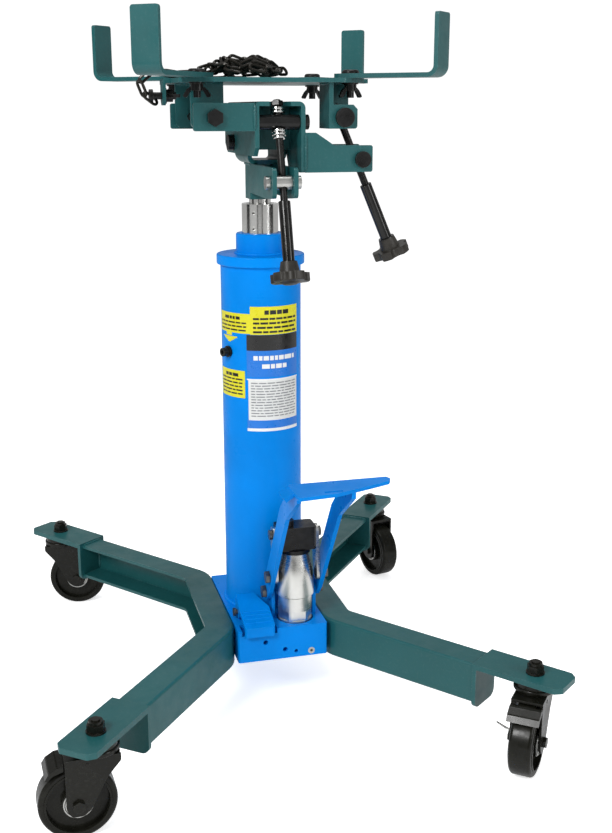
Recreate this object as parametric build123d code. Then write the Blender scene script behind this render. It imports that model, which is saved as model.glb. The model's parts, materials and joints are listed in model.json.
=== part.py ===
from build123d import *
import math
import os

# A two-stage hydraulic transmission jack on four swivel casters, with a tilting saddle.
# Millimetres. The origin is on the floor under the column's axis, +Y to the back, +X to the
# right when it is seen from the pedal side, +Z up. Heights in this file are measured from a
# datum FLOOR_Z below the floor, and save() brings every piece down to the floor.

# ---------------------------------------------------------------- driving dimensions
FLOOR_Z = 8.0
WHEEL_R = 50.0
WHEEL_Z = FLOOR_Z + WHEEL_R
WHEEL_HALF_W = 16.0
CASTER_X = 300.0
CASTER_Y = 367.0
CASTER_TRAIL = 28.0
CASTER_HEADINGS = {"fl": 183.0, "fr": 231.0, "rl": -12.0, "rr": 284.0}
BRAKED = ("fl", "fr")
BRAKE_PIVOT = (15.0, 113.2)

BLOCK_HALF_X = 69.0
BLOCK_FRONT = -130.0
BLOCK_BACK = 94.0
BLOCK_BOTTOM = 90.0
BLOCK_TOP = 141.0

LEG_BOTTOM = 81.0
LEG_TOP = 141.0
LEG_FLANGE = 44.0
LEG_WALL = 5.0
LEG_VERTEX_Y = 112.0
LEG_BEND_R = 60.0
LEG_DIR = (0.622, 0.783)
LEG_END = 261.5
PAD_END = 394.0
PAD_WIDTH = 58.0
PAD_TOP = 145.0
PAD_T = 8.0
PAD_WALL = 6.0

TUBE_R = 60.0
TUBE_WALL = 4.0
TUBE_TOP = 675.0
CAP_R = 65.5
CAP_TOP = 690.0
COLLAR_R = 36.25
COLLAR_TOP = 720.0
CYLINDER_R = 40.0
CYLINDER_BORE = 34.0
RAM1_R = 27.0
RAM1_BORE = 20.0
RAM1_BOTTOM = 150.0
RAM1_TOP = 763.0
RAM2_R = 16.0
RAM2_BOTTOM = 165.0
RAM2_TOP = 770.0
RUN = 0.05
STEM_R = 10.0

PUMP_X = 27.0
PUMP_Y = -95.0
BARREL_R = 26.0
BARREL_TOP = 196.0
BELL_BOTTOM = 182.0
BELL_TOP = 250.0
HEAD_BOTTOM = 256.0
HEAD_TOP = 292.0
PIVOT = (-78.0, 180.0)
LINK_LOW = (-104.0, 214.0)
LINK_HIGH = (-95.0, 278.0)
PEDAL_TOP = 400.0
PEDAL_LEAN = 34.0
LINK_IN = 30.0
LINK_OUT = 35.0
ARM_IN = 35.5
ARM_OUT = 41.5
RELEASE_PIVOT = (-80.0, 152.0)
RELEASE_REAR = (-62.0, 173.0)
RELEASE_SLOPE = 17.0

TILT_PIVOT = (15.0, 850.0)
FRONT_HIGH = (-118.0, 880.0)
FRONT_LOW = (-142.0, 801.0)
HINGE = (-89.4, 886.0)
SIDE_HIGH = (92.0, 886.0)
SIDE_LOW = (116.0, 830.0)
SIDE_Y = -97.0
CHEEK_OUT = 35.0
PLATE_T = 6.0
YOKE_FRONT = -130.0
YOKE_TOP = 907.0
TABLE_HALF = 130.0
TABLE_Z = 932.0
ARM_BOLT_X = 107.0
ARM_BOLT_Y = 100.0
ARM_HEADINGS = {"fl": 233.13, "fr": 317.0, "rl": 136.0, "rr": 45.0}
ARM_REACH = 136.0
ARM_W = 39.0
ARM_TIP = 1020.0
ROD_R = 5.0
SLEEVE_LEN = 86.0
KNOB_H = 27.0
KNOB_R = 27.0
KNOB_LOBES = 5

os.makedirs("parts", exist_ok=True)
nodes = {}


# ---------------------------------------------------------------- small helpers
def block(x0, x1, y0, y1, z0, z1):
    """A box between two corners."""
    centre = ((x0 + x1) / 2, (y0 + y1) / 2, (z0 + z1) / 2)
    return Pos(*centre) * Box(x1 - x0, y1 - y0, z1 - z0)


def rod(radius, start, direction, length):
    """A round bar that starts at a point and runs along a direction."""
    plane = Plane(origin=start, z_dir=direction)
    return extrude(plane * Circle(radius), length)


def ring(outer, inner, start, direction, length):
    """A round bar with a bore."""
    bored = rod(outer, start, direction, length)
    return bored - rod(inner, start, direction, length)


def hexagon(flats, start, direction, length, turn=0.0):
    """A hexagonal bar, measured across its flats."""
    plane = Plane(origin=start, z_dir=direction)
    return extrude(plane * Rot(0, 0, turn) * RegularPolygon(flats / math.sqrt(3), 6), length)


def outline(points, radii=None):
    """A face from corner points; radii maps a corner's index to its rounding."""
    face = Polygon(*points, align=None)
    if face.faces()[0].normal_at().Z < 0:
        face = Polygon(*reversed(points), align=None)
    for index, radius in (radii or {}).items():
        target = Vector(points[index][0], points[index][1], 0)
        corner = min(face.vertices(), key=lambda v: (v.center() - target).length)
        face = fillet(corner, radius)
    return face


def plate_x(points, x0, x1, radii=None):
    """A plate whose outline is drawn in Y and Z, from x0 to x1."""
    plane = Plane(origin=(x0, 0, 0), x_dir=(0, 1, 0), z_dir=(1, 0, 0))
    return extrude(plane * outline(points, radii), x1 - x0)


def plate_y(points, y0, y1, radii=None):
    """A plate whose outline is drawn in X and Z, from y0 to y1."""
    plane = Plane(origin=(0, y1, 0), x_dir=(1, 0, 0), z_dir=(0, -1, 0))
    return extrude(plane * outline(points, radii), y1 - y0)


def plate_z(points, z0, z1, radii=None):
    """A plate whose outline is drawn in X and Y, from z0 to z1."""
    plane = Plane(origin=(0, 0, z0), x_dir=(1, 0, 0), z_dir=(0, 0, 1))
    return extrude(plane * outline(points, radii), z1 - z0)


def bar_between(start, end, radius_a, radius_b):
    """Corner-free outline of a link: two bosses joined by their outer tangents."""
    first = Pos(*start, 0) * Circle(radius_a)
    second = Pos(*end, 0) * Circle(radius_b)
    return make_hull([*first.edges(), *second.edges()])


def save(name, *solids):
    """Keep the solids of one node, lowered onto the floor."""
    lowered = [Pos(0, 0, -FLOOR_Z) * solid for solid in solids]
    nodes[name] = lowered[0] if len(lowered) == 1 else Compound(children=lowered)


# ---------------------------------------------------------------- base
def base_block():
    """The cast pump base: oil ways, pump recess, pedal lugs and release lug."""
    body = block(-BLOCK_HALF_X, BLOCK_HALF_X, BLOCK_FRONT, BLOCK_BACK, BLOCK_BOTTOM, BLOCK_TOP)
    body = chamfer(body.edges().filter_by(Axis.Z), 2.0)
    body -= rod(BARREL_R + 2, (PUMP_X, PUMP_Y, 128), (0, 0, 1), 20)
    for x, z, radius in ((-27.2, 119.2, 3.8), (3.2, 104.4, 3.8), (20.4, 99.7, 3.0), (44.1, 98.1, 5.2)):
        body -= rod(radius, (x, BLOCK_FRONT - 1, z), (0, 1, 0), 16)
    body -= rod(5.0 + RUN, (-36, -112, 112), (0, 0, 1), 40)
    body -= block(-63, -9, BLOCK_FRONT - 1, -104, BLOCK_TOP - 8, BLOCK_TOP + 1)
    for side in (-1, 1):
        for y in (-60, 0, 60):
            body -= rod(6.0, (side * (BLOCK_HALF_X + 1), y, 111), (-side, 0, 0), 23)
    for side in (-1, 1):
        inner = PUMP_X + side * LINK_IN
        outer = PUMP_X + side * LINK_OUT
        x0 = min(inner, outer)
        x1 = max(inner, outer)
        y, z = PIVOT
        lug = block(x0, x1, y - 11, y + 11, BLOCK_TOP - 3, z)
        lug += rod(11, (x0, y, z), (1, 0, 0), x1 - x0)
        body += lug - rod(5.0, (x0 - 1, y, z), (1, 0, 0), x1 - x0 + 2)
    y, z = RELEASE_PIVOT
    lug = block(-54, -38, y - 8, y + 8, BLOCK_TOP - 3, z)
    lug += rod(8, (-54, y, z), (1, 0, 0), 16)
    return body + (lug - rod(4.0, (-55, y, z), (1, 0, 0), 18))


def leg(side):
    """One bent channel with a caster pad welded on each end; side is -1 left, 1 right."""
    dx, dy = LEG_DIR
    start_x = BLOCK_HALF_X + LEG_END * dx
    start_y = LEG_VERTEX_Y + LEG_END * dy
    corners = [
        (side * start_x, -start_y),
        (side * BLOCK_HALF_X, -LEG_VERTEX_Y),
        (side * BLOCK_HALF_X, LEG_VERTEX_Y),
        (side * start_x, start_y),
    ]
    mid = (LEG_BOTTOM + LEG_TOP) / 2
    path = Pos(0, 0, mid) * FilletPolyline(*corners, radius=LEG_BEND_R)
    half = (LEG_TOP - LEG_BOTTOM) / 2
    tangent = Vector(-side * dx, dy, 0)
    outward = Vector(side * dy, dx, 0)
    plane = Plane(origin=(corners[0][0], corners[0][1], mid), x_dir=outward, z_dir=tangent)
    turn = 1 if plane.y_dir.Z > 0 else -1
    section = [
        (0, -half),
        (LEG_FLANGE, -half),
        (LEG_FLANGE, -half + LEG_WALL),
        (LEG_WALL, -half + LEG_WALL),
        (LEG_WALL, half - LEG_WALL),
        (LEG_FLANGE, half - LEG_WALL),
        (LEG_FLANGE, half),
        (0, half),
    ]
    profile = outline([(u, v * turn) for u, v in section], {0: 4.0, 7: 4.0})
    channel = sweep(plane * profile, path=path)
    for y in (-60, 0, 60):
        channel -= rod(6.0, (side * (BLOCK_HALF_X - 5), y, 111), (side, 0, 0), 20)
    result = channel
    for end in (-1, 1):
        result += caster_pad(side, end)
    return result


def pad_frame(side, end):
    """A frame whose x runs out along a leg's arm and whose origin is on the caster's axis."""
    dx, dy = LEG_DIR
    return Plane(origin=(side * CASTER_X, end * CASTER_Y, 0), x_dir=(side * dx, end * dy, 0), z_dir=(0, 0, 1))


def caster_pad(side, end):
    """The angle bracket at the end of a leg's arm."""
    dx, dy = LEG_DIR
    reach = (CASTER_X - BLOCK_HALF_X) * dx + (CASTER_Y - LEG_VERTEX_Y) * dy
    near = LEG_END - reach
    far = PAD_END - reach
    half = PAD_WIDTH / 2
    frame = pad_frame(side, end)
    cut = 9.0
    corners = [(near, -half), (far - cut, -half), (far, -half + cut)]
    corners += [(far, half - cut), (far - cut, half), (near, half)]
    top = extrude(Pos(0, 0, PAD_TOP - PAD_T) * outline(corners, {1: 4, 2: 4, 3: 4, 4: 4}), PAD_T)
    drop = PAD_TOP - LEG_BOTTOM + 5
    wall = Pos(near + PAD_WALL / 2, 0, PAD_TOP - drop / 2) * Box(PAD_WALL, PAD_WIDTH, drop)
    wall = fillet(wall.edges().filter_by(Axis.X).sort_by(Axis.Z)[:2], 12)
    pad = frame.location * (top + wall)
    stem = (side * CASTER_X, end * CASTER_Y, PAD_TOP - PAD_T - 1)
    return pad - rod(6.0, stem, (0, 0, 1), PAD_T + 2)


def leg_bolts():
    """Six hexagon bolts that hold the legs to the block, driven from inside the channels."""
    bolts = []
    for side in (-1, 1):
        for y in (-60, 0, 60):
            head_x = side * (BLOCK_HALF_X + LEG_WALL)
            bolt = hexagon(18, (head_x, y, 111), (side, 0, 0), 7.5)
            bolt += rod(6.0, (head_x, y, 111), (-side, 0, 0), LEG_WALL + 20)
            bolts.append(bolt)
    return bolts


def column():
    """Reservoir tube, pressure cylinder, top cap and gland collar, one inside the other."""
    up = (0, 0, 1)
    tube = ring(TUBE_R, TUBE_R - TUBE_WALL, (0, 0, BLOCK_TOP), up, TUBE_TOP - BLOCK_TOP)
    tube = chamfer(tube.edges().filter_by(GeomType.CIRCLE).sort_by(Axis.Z)[-1:], 1.2)
    save("outer_tube", tube - filler_bore())
    inner = ring(CYLINDER_R, CYLINDER_BORE, (0, 0, BLOCK_TOP), up, TUBE_TOP - BLOCK_TOP)
    save("inner_cylinder", inner)
    cap = ring(CAP_R, RAM1_R + 0.3, (0, 0, TUBE_TOP), up, CAP_TOP - TUBE_TOP)
    rims = cap.edges().filter_by(GeomType.CIRCLE).filter_by(lambda e: e.radius > CAP_R - 1)
    save("top_cap", fillet(rims, 2.0))
    collar = ring(COLLAR_R, RAM1_R + RUN, (0, 0, CAP_TOP), up, COLLAR_TOP - CAP_TOP)
    rims = collar.edges().filter_by(GeomType.CIRCLE).filter_by(lambda e: e.radius > COLLAR_R - 1)
    save("gland_collar", chamfer(rims.sort_by(Axis.Z)[-1:], 1.5))


FILLER_DIR = (-0.914, -0.406, 0)
FILLER_Z = 548.0


def filler_bore():
    """The tapped hole for the oil filler plug."""
    near = TUBE_R - TUBE_WALL - 4
    return rod(5.0, (FILLER_DIR[0] * near, FILLER_DIR[1] * near, FILLER_Z), FILLER_DIR, 20)


def filler_plug():
    """Oil filler plug: a shank in the tube wall, a flange and a socket head."""
    start = TUBE_R - TUBE_WALL
    seat = TUBE_R + 0.4
    at = (FILLER_DIR[0] * start, FILLER_DIR[1] * start, FILLER_Z)
    face = (FILLER_DIR[0] * seat, FILLER_DIR[1] * seat, FILLER_Z)
    head = (FILLER_DIR[0] * (seat + 3), FILLER_DIR[1] * (seat + 3), FILLER_Z)
    tip = (FILLER_DIR[0] * (seat + 8), FILLER_DIR[1] * (seat + 8), FILLER_Z)
    plug = rod(5.0, at, FILLER_DIR, seat - start)
    plug += rod(8.5, face, FILLER_DIR, 3)
    plug += rod(6.5, head, FILLER_DIR, 9)
    return plug - hexagon(6, tip, FILLER_DIR, 8)


def port_plug():
    """The pressure-relief plug in the block's front face, with a hexagon socket."""
    at = (44.1, BLOCK_FRONT - 0.6, 98.1)
    plug = rod(5.2, at, (0, 1, 0), 12)
    return plug - hexagon(4, at, (0, 1, 0), 5)


def pump_barrel():
    """The fixed pump barrel: spanner flats below, a neck inside the bell and the plunger's bore."""
    neck = BARREL_TOP - 16
    barrel = rod(BARREL_R, (PUMP_X, PUMP_Y, 128), (0, 0, 1), neck - 128)
    barrel += rod(BARREL_R - 2, (PUMP_X, PUMP_Y, neck), (0, 0, 1), BARREL_TOP - neck)
    barrel = chamfer(barrel.edges().filter_by(GeomType.CIRCLE).sort_by(Axis.Z)[-1:], 2.0)
    trim = rod(BARREL_R + 5, (PUMP_X, PUMP_Y, 143), (0, 0, 1), 15)
    trim -= hexagon(47, (PUMP_X, PUMP_Y, 143), (0, 0, 1), 15, 0)
    barrel -= trim
    return barrel - rod(9.0 + RUN, (PUMP_X, PUMP_Y, 140), (0, 0, 1), 60)


def pedal_pins():
    """Shoulder bolts of the pump pedal and the pin of the release pedal."""
    y, z = PIVOT
    pins = []
    for side in (-1, 1):
        start = PUMP_X + side * LINK_IN
        bolt = rod(5.0, (start, y, z), (side, 0, 0), ARM_OUT - LINK_IN + 0.6)
        bolt += hexagon(17, (PUMP_X + side * (ARM_OUT + 0.6), y, z), (side, 0, 0), 6)
        pins.append(bolt)
    y, z = RELEASE_PIVOT
    pin = rod(4.0, (-62.4, y, z), (1, 0, 0), 34)
    pin += rod(6.5, (-66.4, y, z), (1, 0, 0), 4)
    pin += rod(6.0, (-28.4, y, z), (1, 0, 0), 2.5)
    return pins + [pin]


# ---------------------------------------------------------------- casters
def caster_corner(name):
    """The side and end of a caster: front is -Y, left is -X."""
    end = -1 if name[0] == "f" else 1
    side = -1 if name[1] == "l" else 1
    return side, end


def caster_frame(name):
    """A frame on the kingpin axis whose x points along the caster's trail."""
    side, end = caster_corner(name)
    turn = math.radians(CASTER_HEADINGS[name])
    trail = (math.cos(turn), math.sin(turn), 0)
    return Plane(origin=(side * CASTER_X, end * CASTER_Y, 0), x_dir=trail, z_dir=(0, 0, 1))


def caster_stems():
    """Kingpins with their fixed races, and a washer and nylon lock nut on each pad."""
    stems = []
    for side in (-1, 1):
        for end in (-1, 1):
            x = side * CASTER_X
            y = end * CASTER_Y
            stem = rod(6.0, (x, y, 117), (0, 0, 1), 46)
            stem += rod(27.0, (x, y, 130), (0, 0, 1), PAD_TOP - PAD_T - 130)
            stem += rod(9.0, (x, y, 113), (0, 0, 1), 4)
            nut = ring(13.0, 6.0, (x, y, PAD_TOP), (0, 0, 1), 2)
            nut += hexagon(21, (x, y, PAD_TOP + 2), (0, 0, 1), 10, 15) - rod(6.0, (x, y, PAD_TOP), (0, 0, 1), 20)
            nut += ring(9.3, 6.0, (x, y, PAD_TOP + 12), (0, 0, 1), 4)
            stems += [stem, nut]
    return stems


def caster_fork(name):
    """Stamped fork: a domed race plate, two tapering sides, and the axle bolt with its nut."""
    frame = caster_frame(name)
    top = ring(29, 6.0 + RUN, (0, 0, 122), (0, 0, 1), 7.7)
    top = fillet(top.edges().filter_by(GeomType.CIRCLE).filter_by(lambda e: e.radius > 28), 2.5)
    deck = plate_z([(-27, -22), (43, -22), (43, 22), (-27, 22)], 118.5, 122, {0: 10, 3: 10})
    deck -= rod(6.0 + RUN, (0, 0, 117), (0, 0, 1), 8)
    fork = top + deck
    side_points = [(-27, 122), (-27, 113), (-9, 92), (13, 50), (22, 43), (37, 43), (43, 54), (43, 122)]
    for hand in (-1, 1):
        y0 = min(hand * 19, hand * 22)
        cheek = plate_y(side_points, y0, y0 + 3, {1: 4, 2: 10, 3: 8, 4: 5, 5: 7, 6: 6})
        fork += cheek
        fork -= rod(6.0, (CASTER_TRAIL, hand * 30, WHEEL_Z), (0, -hand, 0), 14)
    axle = rod(6.0, (CASTER_TRAIL, -22, WHEEL_Z), (0, 1, 0), 44)
    axle += hexagon(14, (CASTER_TRAIL, -26.5, WHEEL_Z), (0, 1, 0), 4.5)
    axle += hexagon(14, (CASTER_TRAIL, 22, WHEEL_Z), (0, 1, 0), 5)
    if name in BRAKED:
        x, z = BRAKE_PIVOT
        fork -= rod(2.6, (x, -30, z), (0, 1, 0), 60)
        pin = rod(2.6, (x, -22.5, z), (0, 1, 0), 45)
        return [frame.location * fork, frame.location * axle, frame.location * pin]
    return [frame.location * fork, frame.location * axle]


def caster_wheel(name):
    """Moulded wheel with a recessed web on both faces."""
    frame = caster_frame(name)
    centre = (CASTER_TRAIL, -WHEEL_HALF_W, WHEEL_Z)
    wheel = rod(WHEEL_R, centre, (0, 1, 0), 2 * WHEEL_HALF_W)
    wheel = fillet(wheel.edges().filter_by(GeomType.CIRCLE), 5.0)
    for hand in (-1, 1):
        face = (CASTER_TRAIL, hand * (WHEEL_HALF_W + 1), WHEEL_Z)
        wheel -= ring(40, 21, face, (0, -hand, 0), 8)
    wheel -= rod(16.5, (CASTER_TRAIL, -20, WHEEL_Z), (0, 1, 0), 40)
    return frame.location * wheel


def caster_bearing(name):
    """The two ball races at the hub, on a sleeve over the axle."""
    frame = caster_frame(name)
    width = WHEEL_HALF_W + 1.5
    bearing = ring(16.5, 6.0 + RUN, (CASTER_TRAIL, -width, WHEEL_Z), (0, 1, 0), 2 * width)
    for hand in (-1, 1):
        face = (CASTER_TRAIL, hand * (width + 0.1), WHEEL_Z)
        bearing -= ring(13.5, 10.0, face, (0, -hand, 0), 1.5)
    return frame.location * bearing


def caster_brake(name):
    """The tread brake: a lever on a pin through the fork, with a wide hood ahead of the fork."""
    frame = caster_frame(name)
    side = [(10.5, 108.3), (20, 108.3), (26, 109.6), (44, 109.6), (58, 105), (65, 99), (68, 100.5)]
    side += [(63, 108.5), (52, 115), (26, 117.6), (10.5, 117.6)]
    lever = plate_y(side, -12, 12, {7: 6, 8: 5})
    hood = [(44.5, 111), (44.5, 109.6), (58, 105), (65, 99), (68, 100.5), (63, 108.5), (52, 115), (44.5, 115.5)]
    lever += plate_y(hood, -22, 22, {5: 6, 6: 5})
    x, z = BRAKE_PIVOT
    return frame.location * (lever - rod(2.6 + RUN, (x, -30, z), (0, 1, 0), 60))


# ---------------------------------------------------------------- rams
def rams():
    """Stage one slides in the cylinder, stage two slides in stage one."""
    up = (0, 0, 1)
    first = rod(RAM1_R, (0, 0, RAM1_BOTTOM), up, RAM1_TOP - RAM1_BOTTOM)
    first += rod(CYLINDER_BORE - RUN, (0, 0, RAM1_BOTTOM), up, 30)
    first -= rod(RAM1_BORE, (0, 0, RAM1_BOTTOM + 12), up, 700)
    first = chamfer(first.edges().filter_by(GeomType.CIRCLE).sort_by(Axis.Z)[-1:], 0.8)
    angle = math.radians(238)
    for z in (728, 751):
        outside = (RAM1_R * math.cos(angle) * 1.1, RAM1_R * math.sin(angle) * 1.1, z)
        first -= rod(2.8, outside, (-math.cos(angle), -math.sin(angle), 0), 7)
    save("ram_stage_1", first)
    gland = ring(RAM1_BORE, RAM2_R + RUN, (0, 0, 735), up, RAM1_TOP - 735)
    save("stage_gland", gland)
    second = rod(RAM2_R, (0, 0, RAM2_BOTTOM), up, RAM2_TOP - RAM2_BOTTOM)
    second += rod(RAM1_BORE - RUN, (0, 0, RAM2_BOTTOM), up, 22)
    second -= rod(STEM_R + RUN, (0, 0, 705), up, 80)
    save("ram_stage_2", second)


# ---------------------------------------------------------------- pump
def pump_plunger():
    """The plunger rod, from the barrel up into the head block."""
    return rod(9.0, (PUMP_X, PUMP_Y, 171), (0, 0, 1), HEAD_BOTTOM - 171)


def pump_bell():
    """The bell cover over the return spring: a turned shell, open below."""
    outer = [(28.8, 0), (28.8, 4), (28.4, 20), (26.6, 40), (22.6, 58), (20.6, 68)]
    inner = [(18.6, 66), (20.6, 58), (24.8, 40), (26.8, 20), (27.2, 4), (27.2, 0)]
    side = Spline(*[(r, z) for r, z in outer[1:]])
    lining = Spline(*[(r, z) for r, z in inner[:5]])
    edges = [
        Line(outer[0], outer[1]),
        side,
        Line(outer[5], (9.0, 68)),
        Line((9.0, 68), (9.0, 66)),
        Line((9.0, 66), inner[0]),
        lining,
        Line(inner[4], inner[5]),
        Line(inner[5], outer[0]),
    ]
    profile = Plane(origin=(PUMP_X, PUMP_Y, BELL_BOTTOM), x_dir=(1, 0, 0), z_dir=(0, -1, 0)) * make_face(edges)
    return revolve(profile, axis=Axis((PUMP_X, PUMP_Y, 0), (0, 0, 1)))


def pump_head():
    """The head block that the links pull down, with its cap screw and the seat under it."""
    y0 = PUMP_Y - 19
    y1 = PUMP_Y + 17
    head = block(PUMP_X - 29.5, PUMP_X + 29.5, y0, y1, HEAD_BOTTOM, HEAD_TOP)
    head = chamfer(head.edges().filter_by(Axis.Z), 3.0)
    y, z = LINK_HIGH
    head -= rod(6.0, (PUMP_X - 40, y, z), (1, 0, 0), 80)
    seat = ring(24.0, 9.0, (PUMP_X, PUMP_Y, BELL_TOP), (0, 0, 1), HEAD_BOTTOM - BELL_TOP)
    screw = rod(9.0, (PUMP_X - 12, PUMP_Y - 6, HEAD_TOP), (0, 0, 1), 10)
    screw -= hexagon(8, (PUMP_X - 12, PUMP_Y - 6, HEAD_TOP + 4), (0, 0, 1), 10)
    return head + seat + screw


def return_spring():
    """Compression spring between the barrel and the bell."""
    wire = 1.6
    height = 46.0
    coil = Helix(pitch=height / 5.5, height=height, radius=14.5, center=(0, 0, 0))
    start = Plane(origin=coil @ 0, z_dir=coil % 0)
    spring = sweep(start * Circle(wire), path=coil, is_frenet=True)
    return Pos(PUMP_X, PUMP_Y, BARREL_TOP + 1.8) * spring


def link_plates():
    """Two side links from the pedal up to the head block's pin."""
    links = []
    for side in (-1, 1):
        x0 = min(PUMP_X + side * LINK_IN, PUMP_X + side * LINK_OUT)
        plane = Plane(origin=(x0, 0, 0), x_dir=(0, 1, 0), z_dir=(1, 0, 0))
        strap = extrude(plane * bar_between(LINK_LOW, LINK_HIGH, 11, 12), LINK_OUT - LINK_IN)
        strap -= rod(7.3, (x0 - 1, *LINK_LOW), (1, 0, 0), 8)
        strap -= rod(6.0 + RUN, (x0 - 1, *LINK_HIGH), (1, 0, 0), 8)
        links.append(strap)
    return links


def head_pin():
    """The cross pin through the head block and both links, with retaining collars."""
    pin = rod(6.0, (PUMP_X - 38, *LINK_HIGH), (1, 0, 0), 76)
    for side in (-1, 1):
        pin += rod(7.5, (PUMP_X + side * 35.4, *LINK_HIGH), (side, 0, 0), 4.5)
    return pin


def pump_pedal():
    """The bent foot pedal: two arms, flared at the top, under a tread plate."""
    y, z = PIVOT
    lean = math.radians(PEDAL_LEAN)
    along = (-math.sin(lean), math.cos(lean))
    across = (-math.cos(lean), -math.sin(lean))

    def at(s, w):
        return (y + along[0] * s + across[0] * w, z + along[1] * s + across[1] * w)

    half = 16.0
    corners = [at(20, -half), at(190, -half), (-226, PEDAL_TOP - 5), (-270, PEDAL_TOP - 5), (-270, PEDAL_TOP - 13)]
    corners += [at(205, half), at(20, half)]
    pedal = None
    for side in (-1, 1):
        x0 = min(PUMP_X + side * ARM_IN, PUMP_X + side * ARM_OUT)
        arm = plate_x(corners, x0, x0 + ARM_OUT - ARM_IN, {1: 30, 5: 20})
        plane = Plane(origin=(x0, 0, 0), x_dir=(0, 1, 0), z_dir=(1, 0, 0))
        arm += extrude(plane * bar_between(PIVOT, at(24, 0), 12, half), ARM_OUT - ARM_IN)
        arm -= rod(5.0 + RUN, (x0 - 1, y, z), (1, 0, 0), 8)
        arm -= rod(5.0, (x0 - 1, *LINK_LOW), (1, 0, 0), 8)
        pedal = arm if pedal is None else pedal + arm
    tread = [(-16, -226), (126, -226), (129, -236), (124, -246), (91, -260), (39, -280), (-16, -286)]
    plate = plate_z(tread, PEDAL_TOP - 5, PEDAL_TOP, {0: 4, 1: 3, 2: 4, 3: 4, 4: 20, 6: 4})
    plate -= block(24, 50, -273, -268, PEDAL_TOP - 6, PEDAL_TOP + 1)
    tab = plate_y([(-14, PEDAL_TOP), (-30, PEDAL_TOP - 9), (-27.5, PEDAL_TOP - 13.3), (-14, PEDAL_TOP - 5)], -262, -228)
    return pedal + plate + tab


def link_bolts():
    """Bolts that join the links to the pedal's arms."""
    bolts = []
    for side in (-1, 1):
        start = PUMP_X + side * (LINK_IN + 0.1)
        bolt = rod(5.0, (start, *LINK_LOW), (side, 0, 0), ARM_OUT - LINK_IN + 0.5)
        bolt += hexagon(17, (PUMP_X + side * (ARM_OUT + 0.6), *LINK_LOW), (side, 0, 0), 6)
        bolts.append(bolt)
    return bolts


def release_pedal():
    """The ribbed release pedal, pinned to the block over the release valve."""
    y, z = RELEASE_PIVOT
    rear, top = RELEASE_REAR
    slope = math.tan(math.radians(RELEASE_SLOPE))
    plan = [(-58, rear), (-31, rear), (-14, -96), (-14, -139), (-60, -139), (-60, -96)]
    side = [(rear, top), (-139, top - 77 * slope), (-139, 134), (-134.5, 134)]
    side += [(-134.5, top - 5.5 - 72.5 * slope), (rear, top - 5.5)]
    tread = plate_x(side, -62, -12) & plate_z(plan, 120, 190, {2: 8, 3: 4, 4: 4})
    for x in (-60, -34):
        cheek = [(-94, 160), (-92, z - 4), (-87, z - 8.5), (-73, z - 8.5), (-66, z - 4), (-64, 169)]
        tread += plate_x(cheek, x, x + 4, {2: 3, 3: 3})
    tread -= rod(4.0 + RUN, (-70, y, z), (1, 0, 0), 50)
    for index in range(4):
        rib_y = -104 - 8 * index
        rib_z = top + (rib_y - rear) * slope
        tread += rod(1.6, (-57, rib_y, rib_z), (1, 0, 0), 40)
    return tread


def release_valve():
    """The spring-loaded release spindle under the release pedal."""
    return rod(5.0, (-36, -112, 124), (0, 0, 1), 26.3)


# ---------------------------------------------------------------- saddle: post and yoke
def saddle_post():
    """Square post on a turned stem, with the tilt bracket on top and the screw clevis in front."""
    post = block(-18, 18, -18, 18, 770, 821)
    post = fillet(post.edges().filter_by(Axis.Z), 2.0)
    post += rod(STEM_R, (0, 0, 712), (0, 0, 1), 60)
    cradle = plate_y([(-28, 868), (-28, 821), (28, 821), (28, 868), (22, 868), (22, 827), (-22, 827), (-22, 868)],
                     -50, 40, {1: 12, 2: 12, 5: 6, 6: 6})
    trim = plate_x([(-50, 868), (-50, 838), (-34, 868)], -30, 30)
    trim += plate_x([(40, 868), (40, 850), (30, 868)], -30, 30)
    trim += plate_x([(-51, 820), (-51, 834), (-38, 820)], -30, 30)
    trim += plate_x([(41, 820), (41, 834), (28, 820)], -30, 30)
    cradle -= trim
    for side in (-1, 1):
        cradle -= rod(6.0, (side * 20, *TILT_PIVOT), (side, 0, 0), 10)
    post += cradle
    y, z = FRONT_LOW
    for side in (-1, 1):
        x0 = min(side * 12, side * 18)
        ear = plate_x([(-10, 780), (-10, 821), (y - 16, 821), (y - 16, 781), (y + 20, 778)], x0, x0 + 6,
                      {2: 8, 3: 8})
        post += ear - rod(5.0 + RUN, (x0 - 1, y, z), (1, 0, 0), 8)
    return post


def tilt_bolt():
    """The fore-and-aft pivot bolt across the bracket and the yoke's cheeks."""
    bolt = rod(6.0, (-CHEEK_OUT - 0.5, *TILT_PIVOT), (1, 0, 0), 2 * CHEEK_OUT + 1)
    bolt += rod(11.5, (-CHEEK_OUT - 9, *TILT_PIVOT), (1, 0, 0), 8.5)
    bolt += hexagon(22, (CHEEK_OUT + 0.5, *TILT_PIVOT), (1, 0, 0), 9)
    return bolt


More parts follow.
